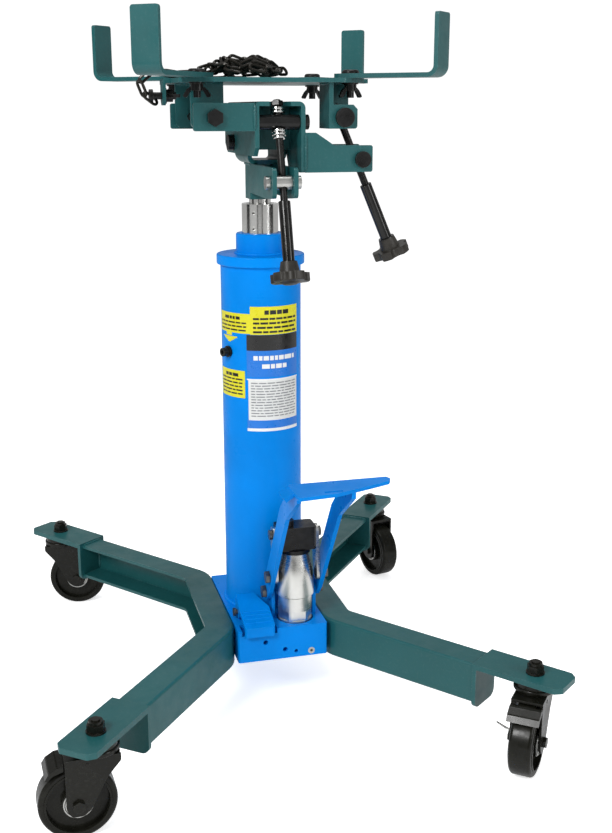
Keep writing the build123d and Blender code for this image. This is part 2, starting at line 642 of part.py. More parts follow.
def yoke():
    """Inverted U of plate, with the hinge wings on the left and the screw arm on the right."""
    rear = [(60, 835), (78, 848), (78, YOKE_TOP)]
    left = [(YOKE_FRONT, YOKE_TOP), (YOKE_FRONT, 847), (-118, 835)]
    right = [(YOKE_FRONT, YOKE_TOP), (YOKE_FRONT, 813), (-60, 813), (-46, 835)]
    body = None
    for hand, front in ((-1, left), (1, right)):
        x0 = min(hand * 29, hand * 35)
        cheek = plate_x(front + rear, x0, x0 + PLATE_T, {1: 5})
        cheek -= rod(6.0 + RUN, (x0 - 1, *TILT_PIVOT), (1, 0, 0), 8)
        cheek -= rod(6.0 + RUN, (x0 - 1, *FRONT_HIGH), (1, 0, 0), 8)
        body = cheek if body is None else body + cheek
    web = block(-29, 29, YOKE_FRONT, 78, YOKE_TOP - PLATE_T, YOKE_TOP)
    web -= block(-15, 15, YOKE_FRONT - 1, -88, YOKE_TOP - PLATE_T - 1, YOKE_TOP + 1)
    body += web
    corners = body.edges().filter_by(Axis.Y).filter_by(lambda e: e.center().Z > YOKE_TOP - 0.1 and e.length > 150)
    body = fillet(corners, 9)
    body += block(-29, 29, -66, -60, 842, YOKE_TOP - PLATE_T)
    x, z = HINGE
    wing = [(-CHEEK_OUT, 868.6), (-118, 868.6), (-118, 905), (-CHEEK_OUT, 905)]
    for y0 in (-130, 70):
        plate = plate_y(wing, y0, y0 + PLATE_T, {1: 3, 2: 3})
        body += plate - rod(6.0, (x, y0 - 1, z), (0, 1, 0), 8)
    return body + side_arm()


def side_arm():
    """Two parallel plates that carry the side screw's lower trunnion, with a gusset."""
    x, z = SIDE_LOW
    arm = None
    for y0 in (-130, -70):
        plate = plate_y([(CHEEK_OUT, 813), (131, 813), (131, 849), (76, 849), (50, 866), (CHEEK_OUT, 866)],
                        y0, y0 + PLATE_T, {1: 3, 2: 3})
        plate -= rod(5.0 + RUN, (x, y0 - 1, z), (0, 1, 0), 8)
        arm = plate if arm is None else arm + plate
    return arm


def hinge_bolt():
    """The long bolt that the table tilts on."""
    x, z = HINGE
    bolt = rod(6.0, (x, -131, z), (0, 1, 0), 208)
    bolt += hexagon(20, (x, -138, z), (0, 1, 0), 7)
    bolt += hexagon(19, (x, 77, z), (0, 1, 0), 9)
    return bolt


# ---------------------------------------------------------------- saddle: table and arms
def saddle_table():
    """Octagonal plate with hinge ears on the left, the screw ear on the right and a chain lug."""
    cut = 38.0
    half = TABLE_HALF
    plan = [(-half, -half + cut), (-half + cut, -half), (half - cut, -half), (half, -half + cut)]
    plan += [(half, half - cut), (half - cut, half), (-half + cut, half), (-half, half - cut)]
    table = plate_z(plan, TABLE_Z, TABLE_Z + PLATE_T, {i: 8 for i in range(8)})
    for sx in (-1, 1):
        for sy in (-1, 1):
            table -= rod(5.0, (sx * ARM_BOLT_X, sy * ARM_BOLT_Y, TABLE_Z - 1), (0, 0, 1), 8)
    x, z = HINGE
    for y0 in (-78, 58):
        ear = plate_y([(-112, TABLE_Z), (-112, 871), (-67, 871), (-67, TABLE_Z)], y0, y0 + 8, {1: 8, 2: 8})
        table += ear - rod(6.0 + RUN, (x, y0 - 1, z), (0, 1, 0), 10)
    x, z = SIDE_HIGH
    table += block(70.5, 76.5, -122, -72, 871, TABLE_Z)
    front = plate_y([(76.5, 903), (76.5, 871), (111, 871), (111, 897), (105, 903)], -122, -116, {2: 4})
    rear = plate_y([(76.5, TABLE_Z), (76.5, 871), (111, 871), (111, TABLE_Z)], -78, -72, {2: 4})
    for plate, y0 in ((front, -122), (rear, -78)):
        table += plate - rod(6.0 + RUN, (x, y0 - 1, z), (0, 1, 0), 8)
    tab = block(-138, -128, -14, 14, TABLE_Z, TABLE_Z + PLATE_T)
    lug = plate_x([(-14, TABLE_Z + 6), (-14, 908), (-8, 902), (8, 902), (14, 908), (14, TABLE_Z + 6)], -140, -136)
    lug -= rod(5.0, (-141, 0, 915), (1, 0, 0), 8)
    hook_tab = block(128, 142, -70, -50, TABLE_Z, TABLE_Z + PLATE_T)
    return table + tab + lug + hook_tab


def saddle_arm(name):
    """A strap that lies on the table and turns up at its end."""
    side, end = caster_corner(name)
    heading = math.radians(ARM_HEADINGS[name])
    base = TABLE_Z + PLATE_T
    half = ARM_W / 2
    run = ARM_REACH
    flat = Pos(0, 0, base) * extrude(outline([(-20, -half), (run - 15, -half), (run - 15, half), (-20, half)],
                                            {0: 12, 3: 12}), PLATE_T)
    inner_r = 9.0
    plane = Plane(origin=(0, half, 0), x_dir=(1, 0, 0), z_dir=(0, -1, 0))
    bend = Pos(run - 15, base + PLATE_T + inner_r) * Circle(inner_r + PLATE_T)
    bend -= Pos(run - 15, base + PLATE_T + inner_r) * Circle(inner_r)
    bend &= Pos(run - 7.5, base + 7.5) * Rectangle(15, 15)
    corner = extrude(plane * bend, ARM_W)
    top = base + PLATE_T + inner_r
    tall = plate_x([(-half, top), (half, top), (half, ARM_TIP), (-half, ARM_TIP)], run - 6, run, {2: 4, 3: 4})
    strap = flat + corner + tall
    strap -= rod(5.0 + RUN, (0, 0, base - 1), (0, 0, 1), 8)
    frame = Plane(origin=(side * ARM_BOLT_X, end * ARM_BOLT_Y, 0),
                  x_dir=(math.cos(heading), math.sin(heading), 0), z_dir=(0, 0, 1))
    return frame.location * strap


def arm_bolts():
    """Carriage bolts through the arms and the table, with wing nuts below."""
    parts = []
    dome_z = TABLE_Z + 2 * PLATE_T
    for sx in (-1, 1):
        for sy in (-1, 1):
            x = sx * ARM_BOLT_X
            y = sy * ARM_BOLT_Y
            bolt = rod(5.0, (x, y, TABLE_Z - 20), (0, 0, 1), dome_z - TABLE_Z + 20)
            head = rod(12.0, (x, y, dome_z + 0.3), (0, 0, 1), 5)
            head = fillet(head.edges().filter_by(GeomType.CIRCLE).sort_by(Axis.Z)[-1:], 4.0)
            parts.append(bolt + head + rod(5.0, (x, y, dome_z), (0, 0, 1), 1))
            parts.append(Pos(x, y, TABLE_Z) * Rot(0, 0, 20 * sx) * wing_nut())
    return parts


def wing_nut():
    """A wing nut hanging below z = 0, on a washer."""
    nut = ring(11.0, 5.0, (0, 0, -2), (0, 0, 1), 2)
    nut += ring(8.5, 5.0, (0, 0, -11), (0, 0, 1), 9)
    for hand in (-1, 1):
        wing = plate_y([(hand * 7, -9), (hand * 7, -4), (hand * 14, -10), (hand * 20, -19), (hand * 14, -20)],
                       -2.2, 2.2, {2: 4, 3: 2, 4: 2})
        nut += wing
    return nut


def chain_pile():
    """The hold-down chain, gathered in a heap on the table, with its run to the lug."""
    base = TABLE_Z + PLATE_T + 0.3
    low = Plane(origin=(-30, -48, base)) * Ellipse(56, 50)
    mid = Plane(origin=(-30, -48, base + 12)) * Ellipse(50, 43)
    high = Plane(origin=(-27, -46, base + 21)) * Ellipse(28, 24)
    heap = loft([low, mid, high])
    strand = block(-172, -70, -8, 8, base, base + 9)
    drop = block(-172, -162, -8, 8, 896, base + 1)
    foot = block(-172, -143, -8, 8, 896, 904.5)
    end = block(-152, -143, -8, 8, 896, 921) - rod(5.0, (-153, 0, 915), (1, 0, 0), 12)
    return heap + strand + drop + foot + end


def chain_bolt():
    """Bolt and wing nut that pin the chain's end link to the lug."""
    bolt = rod(5.0, (-158, 0, 915), (1, 0, 0), 38)
    bolt += rod(9.0, (-158, 0, 915), (1, 0, 0), 5)
    nut = Pos(-136, 0, 915) * Rot(0, -90, 0) * Rot(0, 0, 90) * wing_nut()
    return [bolt, nut]


# ---------------------------------------------------------------- adjusting screws
def screw_axis(prefix):
    """Top pivot, bottom pivot and cross direction of an adjusting screw."""
    if prefix == "front":
        return Vector(0, *FRONT_HIGH), Vector(0, *FRONT_LOW), Vector(1, 0, 0)
    high = Vector(SIDE_HIGH[0], SIDE_Y, SIDE_HIGH[1])
    low = Vector(SIDE_LOW[0], SIDE_Y, SIDE_LOW[1])
    return high, low, Vector(0, 1, 0)


def screw(prefix, above, sleeve_at, nut):
    """The threaded rod with its lock nut, from above the top pivot down into the sleeve."""
    high, low, across = screw_axis(prefix)
    down = (low - high).normalized()
    shaft = rod(ROD_R, high - down * above, down, above + sleeve_at + 60)
    return shaft + hexagon(nut, high - down * (above - 2), down, 6)


def screw_grip(prefix, sleeve_at):
    """The turning sleeve over the rod's lower end, with a winged knob."""
    high, low, across = screw_axis(prefix)
    down = (low - high).normalized()
    start = high + down * sleeve_at
    grip = rod(8.25, start, down, SLEEVE_LEN)
    grip = fillet(grip.edges().filter_by(GeomType.CIRCLE), 1.0)
    grip -= rod(ROD_R, start - down, down, 61)
    top = Plane(origin=start + down * (SLEEVE_LEN - 4), x_dir=across, z_dir=down)
    base = Plane(origin=start + down * (SLEEVE_LEN + 12), x_dir=across, z_dir=down)
    end = Plane(origin=start + down * (SLEEVE_LEN + KNOB_H - 3), x_dir=across, z_dir=down)
    hub = loft([top * Circle(11.5), base * Circle(14.5)])
    star = Circle(KNOB_R)
    for index in range(KNOB_LOBES):
        angle = 360 / KNOB_LOBES * (index + 0.5)
        star -= Rot(0, 0, angle) * Pos(KNOB_R + 4.5, 0) * Circle(10.5)
    star = fillet(star.vertices(), 2.5)
    disc = extrude(base * star, KNOB_H - 15)
    disc = fillet(disc.edges().group_by(Axis.Z)[0], 1.5)
    crown = loft([end * Circle(15), end.offset(3) * Circle(9)])
    return grip + hub + disc + crown


def trunnion(centre, across, down, sizes, pin_ends, heads):
    """A cross barrel that a screw passes through; sizes are barrel, half length, pin, head and bore."""
    barrel, half, pin, head, bore = sizes
    body = rod(barrel, centre - across * half, across, 2 * half)
    body += rod(pin, centre - across * pin_ends[0], across, sum(pin_ends))
    for hand, reach, wanted in ((-1, pin_ends[0], heads[0]), (1, pin_ends[1], heads[1])):
        if wanted:
            body += rod(head, centre + across * (hand * reach), across * hand, 6)
    return body - rod(bore, centre - down * 30, down, 60)


def adjusting_screws():
    """The front screw tilts the yoke, the side screw tilts the table."""
    high, low, across = screw_axis("front")
    down = (low - high).normalized()
    save("front_screw", screw("front", 30, 108, 15))
    save("front_grip", screw_grip("front", 108))
    save("front_upper_trunnion", trunnion(high, across, down, (10, 28.5, 6, 10, ROD_R + RUN), (34.5, 35.6), (0, 1)))
    save("front_lower_trunnion", trunnion(low, across, down, (9.5, 11.5, 5, 9, 6.6), (18.6, 18.6), (1, 1)))
    high, low, across = screw_axis("side")
    down = (low - high).normalized()
    save("side_screw", screw("side", 18.5, 100, 12))
    save("side_grip", screw_grip("side", 100))
    save("side_upper_trunnion", trunnion(high, across, down, (10, 18.5, 6, 13, ROD_R + RUN), (25.6, 25.6), (1, 1)))
    save("side_lower_trunnion", trunnion(low, across, down, (10.5, 26.5, 5, 11, 8.0), (33.6, 33.6), (1, 1)))


# ---------------------------------------------------------------- build every node
save("base_block", base_block())
save("leg_left", leg(-1))
save("leg_right", leg(1))
save("leg_bolts", *leg_bolts())
column()
save("filler_plug", filler_plug())
save("port_plug", port_plug())
save("pump_barrel", pump_barrel())
save("caster_stems", *caster_stems())
save("pedal_pins", *pedal_pins())
for corner in CASTER_HEADINGS:
    save("caster_fork_" + corner, *caster_fork(corner))
    save("caster_wheel_" + corner, caster_wheel(corner))
    save("caster_bearing_" + corner, caster_bearing(corner))
    if corner in BRAKED:
        save("caster_brake_" + corner, caster_brake(corner))
rams()
save("pump_plunger", pump_plunger())
save("pump_bell", pump_bell())
save("pump_head", pump_head())
save("return_spring", return_spring())
save("link_plates", *link_plates())
save("head_pin", head_pin())
save("pump_pedal", pump_pedal())
save("link_bolts", *link_bolts())
save("release_pedal", release_pedal())
save("release_valve", release_valve())
save("saddle_post", saddle_post())
save("tilt_bolt", tilt_bolt())
save("yoke", yoke())
save("hinge_bolt", hinge_bolt())
save("saddle_table", saddle_table())
for corner in ARM_HEADINGS:
    save("saddle_arm_" + corner, saddle_arm(corner))
save("arm_bolts", *arm_bolts())
save("chain", chain_pile())
save("chain_bolt", *chain_bolt())
adjusting_screws()

for name, shape in nodes.items():
    export_step(shape, "parts/" + name + ".step")
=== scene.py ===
import bmesh
import bpy
import json
import math
import random
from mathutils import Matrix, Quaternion, Vector


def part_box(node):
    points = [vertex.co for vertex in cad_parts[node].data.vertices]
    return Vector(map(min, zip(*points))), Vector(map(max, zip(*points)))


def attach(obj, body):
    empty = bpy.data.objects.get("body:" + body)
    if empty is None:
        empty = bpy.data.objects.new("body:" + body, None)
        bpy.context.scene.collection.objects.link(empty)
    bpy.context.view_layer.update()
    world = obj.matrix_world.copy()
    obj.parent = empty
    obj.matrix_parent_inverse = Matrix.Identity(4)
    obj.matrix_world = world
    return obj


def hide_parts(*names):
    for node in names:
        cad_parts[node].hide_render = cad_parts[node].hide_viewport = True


# The looks of the transmission jack: materials on the CAD nodes, and the chain, threads, washers,
# welds, labels and caster details as extra pieces. Metres, in the CAD frame.

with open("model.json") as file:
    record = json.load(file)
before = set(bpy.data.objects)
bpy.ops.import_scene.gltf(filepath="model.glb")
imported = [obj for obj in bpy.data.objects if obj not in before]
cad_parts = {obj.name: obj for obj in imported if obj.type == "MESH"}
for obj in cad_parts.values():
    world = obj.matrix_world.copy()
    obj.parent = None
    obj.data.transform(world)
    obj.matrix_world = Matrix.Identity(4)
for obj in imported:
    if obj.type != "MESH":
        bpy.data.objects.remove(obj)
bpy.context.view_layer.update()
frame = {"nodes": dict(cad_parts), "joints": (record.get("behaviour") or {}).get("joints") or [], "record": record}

# ---------------------------------------------------------------- dimensions read from the frame
TABLE_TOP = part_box("saddle_table")[1][2]
TUBE_R = (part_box("outer_tube")[1][0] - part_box("outer_tube")[0][0]) / 2
joints = {joint["name"]: joint for joint in frame["joints"]}

SHARP_ANGLE = math.radians(38)  # an edge sharper than this stays crisp
BAR_SIDES = 8  # facets round a chain link or a weld bead


# ---------------------------------------------------------------- mesh helpers
def new_object(name, verts, faces, material, body):
    """A mesh object that rides on a body and takes a material."""
    mesh = bpy.data.meshes.new(name)
    mesh.from_pydata([tuple(v) for v in verts], [], faces)
    mesh.validate()
    obj = bpy.data.objects.new(name, mesh)
    bpy.context.collection.objects.link(obj)
    work = bmesh.new()
    work.from_mesh(mesh)
    bmesh.ops.recalc_face_normals(work, faces=work.faces)
    work.to_mesh(mesh)
    work.free()
    for polygon in mesh.polygons:
        polygon.use_smooth = True
    mesh.set_sharp_from_angle(angle=SHARP_ANGLE)
    mesh.materials.append(material)
    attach(obj, body)
    return obj


def rings(origin, axis, profile, segments):
    """Rings of vertices round an axis, one for each (distance along the axis, radius)."""
    axis = Vector(axis).normalized()
    side = axis.orthogonal().normalized()
    other = axis.cross(side)
    verts = []
    for along, radius in profile:
        for i in range(segments):
            angle = 2 * math.pi * i / segments
            ray = side * math.cos(angle) + other * math.sin(angle)
            verts.append(Vector(origin) + axis * along + ray * radius)
    return verts


def bands(count, rows, segments):
    """Quads from each of the first count rings to the ring after it; the last ring leads to the first."""
    faces = []
    for row in range(count):
        here = row * segments
        after = (row + 1) % rows * segments
        for i in range(segments):
            j = (i + 1) % segments
            faces.append((here + i, here + j, after + j, after + i))
    return faces


def caps(rows, segments):
    """The end faces of a stack of rings."""
    return [tuple(range(segments)), tuple((rows - 1) * segments + i for i in range(segments))]


class Shape:
    """Collects vertices and faces of several closed bodies for one object."""

    def __init__(self):
        self.verts = []
        self.faces = []

    def add(self, verts, faces):
        start = len(self.verts)
        self.verts += [Vector(v) for v in verts]
        self.faces += [tuple(start + i for i in face) for face in faces]

    def lathe(self, origin, axis, profile, segments):
        """A closed turned body; profile is (distance along the axis, radius)."""
        rows = len(profile)
        faces = bands(rows - 1, rows, segments) + caps(rows, segments)
        self.add(rings(origin, axis, profile, segments), faces)

    def washer(self, origin, axis, profile, segments):
        """A turned body with a hole: the profile closes on itself."""
        rows = len(profile)
        self.add(rings(origin, axis, profile, segments), bands(rows, rows, segments))

    def tube(self, points, radius, closed=False):
        """A round bar along points; radius is a number or one number per point."""
        points = [Vector(p) for p in points]
        count = len(points)
        radii = radius if hasattr(radius, "__len__") else [radius] * count
        verts = []
        previous = None
        for k, point in enumerate(points):
            after = points[(k + 1) % count] if closed or k + 1 < count else point
            before = points[k - 1] if closed or k > 0 else point
            tangent = (after - before).normalized()
            if previous is None:
                side = tangent.orthogonal().normalized()
            else:
                side = (previous - tangent * previous.dot(tangent)).normalized()
            previous = side
            other = tangent.cross(side)
            for i in range(BAR_SIDES):
                angle = 2 * math.pi * i / BAR_SIDES
                verts.append(point + (side * math.cos(angle) + other * math.sin(angle)) * radii[k])
        faces = bands(count if closed else count - 1, count, BAR_SIDES)
        if not closed:
            faces += caps(count, BAR_SIDES)
        self.add(verts, faces)

    def make(self, name, material, body):
        return new_object(name, self.verts, self.faces, material, body)


# ---------------------------------------------------------------- materials
def set_stops(ramp, stops):
    """Gives a colour ramp node its (position, colour) stops."""
    elements = ramp.color_ramp.elements
    while len(elements) < len(stops):
        elements.new(0.5)
    for element, (position, colour) in zip(elements, stops):
        element.position = position
        element.color = (*colour, 1.0)


class Nodes:
    """A short way to build one material's node tree."""

    def __init__(self, name):
        self.material = bpy.data.materials.new(name)
        self.material.use_nodes = True
        self.tree = self.material.node_tree
        self.shader = self.tree.nodes["Principled BSDF"]
        self.place = self.node("ShaderNodeTexCoord").outputs["Object"]

    def node(self, kind, **values):
        made = self.tree.nodes.new(kind)
        for key, value in values.items():
            setattr(made, key, value)
        return made

    def link(self, source, target):
        self.tree.links.new(source, target)

    def stretch(self, scale):
        mapping = self.node("ShaderNodeMapping")
        mapping.inputs["Scale"].default_value = scale
        self.link(self.place, mapping.inputs["Vector"])
        return mapping.outputs["Vector"]

    def noise(self, scale, detail=3.0, rough=0.5, vector=None):
        made = self.node("ShaderNodeTexNoise")
        made.inputs["Scale"].default_value = scale
        made.inputs["Detail"].default_value = detail
        made.inputs["Roughness"].default_value = rough
        self.link(vector or self.place, made.inputs["Vector"])
        return made.outputs["Fac"]

    def ramp(self, source, stops):
        made = self.node("ShaderNodeValToRGB")
        set_stops(made, stops)
        self.link(source, made.inputs["Fac"])
        return made.outputs["Color"]

    def spread(self, source, low, high, start=0.3, stop=0.7):
        made = self.node("ShaderNodeMapRange")
        made.inputs["From Min"].default_value = start
        made.inputs["From Max"].default_value = stop
        made.inputs["To Min"].default_value = low
        made.inputs["To Max"].default_value = high
        self.link(source, made.inputs["Value"])
        return made.outputs["Result"]

    def math(self, operation, first, second):
        made = self.node("ShaderNodeMath", operation=operation, use_clamp=True)
        for socket, value in zip(made.inputs, (first, second)):
            if hasattr(value, "is_output"):
                self.link(value, socket)
            else:
                socket.default_value = value
        return made.outputs["Value"]

    def mix(self, factor, first, second):
        made = self.node("ShaderNodeMix", data_type="RGBA")
        self.link(factor, made.inputs["Factor"])
        for socket, value in ((made.inputs[6], first), (made.inputs[7], second)):
            if hasattr(value, "is_output"):
                self.link(value, socket)
            else:
                socket.default_value = (*value, 1.0)
        return made.outputs[2]

    def bump(self, source, strength, distance):
        made = self.node("ShaderNodeBump")
        made.inputs["Strength"].default_value = strength
        made.inputs["Distance"].default_value = distance
        self.link(source, made.inputs["Height"])
        self.link(made.outputs["Normal"], self.shader.inputs["Normal"])

    def edges(self, radius):
        """1 on worn corners and 0 on flats."""
        bevel = self.node("ShaderNodeBevel", samples=3)
        bevel.inputs["Radius"].default_value = radius
        flat = self.node("ShaderNodeNewGeometry")
        dot = self.node("ShaderNodeVectorMath", operation="DOT_PRODUCT")
        self.link(bevel.outputs["Normal"], dot.inputs[0])
        self.link(flat.outputs["Normal"], dot.inputs[1])
        return self.spread(dot.outputs["Value"], 1.0, 0.0, 0.86, 0.995)

    def uniform(self, **values):
        for key, value in values.items():
            self.shader.inputs[key.replace("_", " ")].default_value = value


def enamel(name, base, worn, rough=0.34, coat=0.25, wear=0.55, shine=0.34):
    """Brushed or sprayed gloss paint: slight colour drift, orange peel, dust and chipped corners."""
    n = Nodes(name)
    drift = n.noise(7.0, 4.0)
    dark = tuple(c * 0.86 for c in base)
    light = tuple(min(1.0, c * 1.12) for c in base)
    colour = n.ramp(drift, [(0.3, dark), (0.7, light)])
    speck = n.noise(260.0, 2.0)
    colour = n.mix(n.spread(speck, 0.0, 0.10, 0.55, 0.8), colour, worn)
    patches = n.spread(n.noise(75.0, 3.0), 0.0, 1.0, 0.46, 0.62)
    chips = n.math("MULTIPLY", n.edges(0.0011), patches)
    colour = n.mix(n.math("MULTIPLY", chips, wear), colour, worn)
    n.link(colour, n.shader.inputs["Base Color"])
    n.link(n.spread(n.noise(38.0, 4.0), rough - 0.06, rough + 0.10), n.shader.inputs["Roughness"])
    n.bump(n.noise(620.0, 2.0), strength=0.07, distance=0.0006)
    n.uniform(Coat_Weight=coat, Coat_Roughness=0.12, Specular_IOR_Level=shine)
    return n.material


def turned(name, base, rough=0.16, lines=(30, 30, 2600), strength=0.03):
    """Bright machined metal with fine turning lines."""
    n = Nodes(name)
    fine = n.noise(1.0, 2.0, 0.6, n.stretch(lines))
    dark = tuple(c * 0.8 for c in base)
    smear = n.noise(22.0, 4.0)
    n.link(n.ramp(smear, [(0.35, dark), (0.65, base)]), n.shader.inputs["Base Color"])
    gloss = n.spread(n.math("MULTIPLY", fine, smear), rough - 0.03, rough + 0.12, 0.1, 0.4)
    n.link(gloss, n.shader.inputs["Roughness"])
    n.bump(fine, strength, 0.0003)
    n.uniform(Metallic=1.0)
    return n.material


def oxide(name, base, rough=0.42, metallic=0.6, grain=300.0):
    """Blackened steel: matt, slightly mottled, with paler rubbed edges."""
    n = Nodes(name)
    mottle = n.noise(90.0, 5.0)
    light = tuple(min(1.0, c * 1.9 + 0.006) for c in base)
    colour = n.ramp(mottle, [(0.3, base), (0.75, light)])
    colour = n.mix(n.math("MULTIPLY", n.edges(0.0007), 0.35), colour, (0.16, 0.15, 0.13))
    n.link(colour, n.shader.inputs["Base Color"])
    n.link(n.spread(n.noise(55.0, 4.0), rough - 0.1, rough + 0.14), n.shader.inputs["Roughness"])
    n.bump(n.noise(grain, 3.0), 0.12, 0.0005)
    n.uniform(Metallic=metallic, Specular_IOR_Level=0.3)
    return n.material


def moulded(name, base, rough=0.4, grain=900.0, strength=0.08, shine=0.25):
    """Hard plastic or rubber with a fine moulded grain and a little scuffing."""
    n = Nodes(name)
    scuff = n.noise(48.0, 5.0)
    light = tuple(min(1.0, c * 1.6 + 0.004) for c in base)
    n.link(n.ramp(scuff, [(0.4, base), (0.8, light)]), n.shader.inputs["Base Color"])
    n.link(n.spread(n.noise(70.0, 3.0), rough - 0.08, rough + 0.12), n.shader.inputs["Roughness"])
    n.bump(n.noise(grain, 2.0), strength, 0.0004)
    n.uniform(Specular_IOR_Level=shine)
    return n.material


def grip(prefix, knob_from):
    """A gloss sleeve whose lower end, beyond a distance along the screw, is a duller moulded knob."""
    spin = joints[prefix + "_screw_spin"]
    down = Vector(spin["axis"]).normalized()
    n = Nodes(prefix + "_grip")
    along = n.node("ShaderNodeVectorMath", operation="DOT_PRODUCT")
    n.link(n.place, along.inputs[0])
    along.inputs[1].default_value = down
    knob = n.node("ShaderNodeMath", operation="GREATER_THAN")
    n.link(along.outputs["Value"], knob.inputs[0])
    knob.inputs[1].default_value = Vector(spin["pos_m"]).dot(down) + knob_from
    scuff = n.noise(60.0, 4.0)
    sleeve = n.ramp(scuff, [(0.4, (0.006, 0.006, 0.006)), (0.8, (0.012, 0.012, 0.011))])
    moulding = n.ramp(scuff, [(0.4, (0.020, 0.018, 0.015)), (0.8, (0.040, 0.037, 0.032))])
    n.link(n.mix(knob.outputs["Value"], sleeve, moulding), n.shader.inputs["Base Color"])
    gloss = n.spread(scuff, 0.10, 0.22)
    dull = n.math("MULTIPLY", knob.outputs["Value"], 0.24)
    n.link(n.math("ADD", gloss, dull), n.shader.inputs["Roughness"])
    n.bump(n.noise(420.0, 2.0), 0.03, 0.0003)
    n.uniform(Specular_IOR_Level=0.3)
    return n.material


def printed(name, base):
    """A plain printed foil, faintly mottled and laid on paint."""
    n = Nodes(name)
    rough = 0.3
    dark = tuple(c * 0.93 for c in base)
    n.link(n.ramp(n.noise(35.0, 3.0), [(0.35, dark), (0.65, base)]), n.shader.inputs["Base Color"])
    n.link(n.spread(n.noise(120.0, 2.0), rough - 0.05, rough + 0.08), n.shader.inputs["Roughness"])
    n.bump(n.noise(160.0, 2.0), 0.05, 0.0003)
    return n.material


TEAL = enamel("teal_enamel", (0.009, 0.084, 0.088), (0.13, 0.22, 0.22), rough=0.38, coat=0.10)
BLUE = enamel("blue_enamel", (0.000, 0.205, 0.680), (0.01, 0.36, 0.85), rough=0.32, coat=0.02, wear=0.35,
              shine=0.06)
CASTER = enamel("caster_black", (0.006, 0.006, 0.004), (0.10, 0.10, 0.09), rough=0.26, coat=0.10, wear=0.5,
                shine=0.2)
CHROME = turned("hard_chrome", (0.78, 0.78, 0.76), rough=0.10, strength=0.015)
SATIN = turned("satin_chrome", (0.80, 0.80, 0.77), rough=0.27, lines=(30, 30, 1500), strength=0.03)
STEEL = turned("turned_steel", (0.55, 0.55, 0.53), rough=0.24)
SPRING = turned("spring_steel", (0.22, 0.22, 0.22), rough=0.34, lines=(60, 60, 60))
ZINC = oxide("zinc_dark", (0.09, 0.09, 0.085), rough=0.34, metallic=0.9)
OXIDE = oxide("black_oxide", (0.007, 0.007, 0.007), rough=0.30, metallic=0.4)
CHAIN = oxide("chain_black", (0.010, 0.009, 0.007), rough=0.26, metallic=0.5, grain=420.0)
WHEEL = moulded("wheel_black", (0.007, 0.007, 0.005), rough=0.24, strength=0.05, shine=0.18)
GLOSS = moulded("gloss_black", (0.007, 0.007, 0.007), rough=0.16, grain=400.0, strength=0.02)
YELLOW = printed("label_yellow", (0.66, 0.62, 0.012))
WHITE = printed("label_white", (0.74, 0.75, 0.75))
GREY = printed("label_grey", (0.66, 0.67, 0.66))
DASH_GREY = printed("label_dash_grey", (0.20, 0.21, 0.22))
LABEL_BLACK = printed("label_black", (0.012, 0.012, 0.012))
LABEL_BLUE = printed("label_blue", (0.006, 0.16, 0.60))

PAINTS = {
    "teal_paint": TEAL,
    "blue_paint": BLUE,
    "bare_steel": STEEL,
    "zinc_bolts": ZINC,
    "black_plastic": WHEEL,
    "caster_black": CASTER,
    "wheel_black": WHEEL,
    "bearing_steel": STEEL,
    "chrome": CHROME,
    "black_paint": OXIDE,
    "grip_black": GLOSS,
}
for row in frame["record"]["subparts"]:
    node = frame["nodes"].get(row["node"])
    if node is not None:
        node.data.materials.clear()
        node.data.materials.append(PAINTS[row["material_slot"]])

# Nodes that share a slot but look different from the rest of it.
OWN_LOOKS = {
    "return_spring": SPRING,
    "pump_bell": SATIN,
    "pump_barrel": SATIN,
    "front_upper_trunnion": GLOSS,
}
for name, material in OWN_LOOKS.items():
    frame["nodes"][name].data.materials[0] = material

SLEEVE_AT = {"front": 0.108, "side": 0.100}  # along each screw, from its upper trunnion to the sleeve
KNOB_AFTER = 0.083  # and from there to the knob
for prefix, sleeve_at in SLEEVE_AT.items():
    frame["nodes"][prefix + "_grip"].data.materials[0] = grip(prefix, sleeve_at + KNOB_AFTER)


# ---------------------------------------------------------------- chain
LINK_WIRE = 0.0021
LINK_PITCH = 0.0185
LINK_HALF_W = 0.0052


def link_loop(centre, along, side):
    """The centre line of one oval link."""
    half = LINK_PITCH / 2 - LINK_HALF_W + LINK_WIRE
    points = []
    for end in (1, -1):
        for i in range(9):
            angle = math.pi * (i / 8 - 0.5)
            x = end * (half + LINK_HALF_W * math.cos(angle))
            y = end * LINK_HALF_W * math.sin(angle)
            points.append(centre + along * x + side * y)
    return points


def resample(points, step):
    """Points at an even step along a polyline, with the direction at each."""
    result = []
    travelled = 0.0
    wanted = step / 2
    for a, b in zip(points, points[1:]):
        length = (b - a).length
        while wanted <= travelled + length:
            ratio = (wanted - travelled) / length
            result.append((a.lerp(b, ratio), (b - a).normalized()))
            wanted += step
        travelled += length
    return result


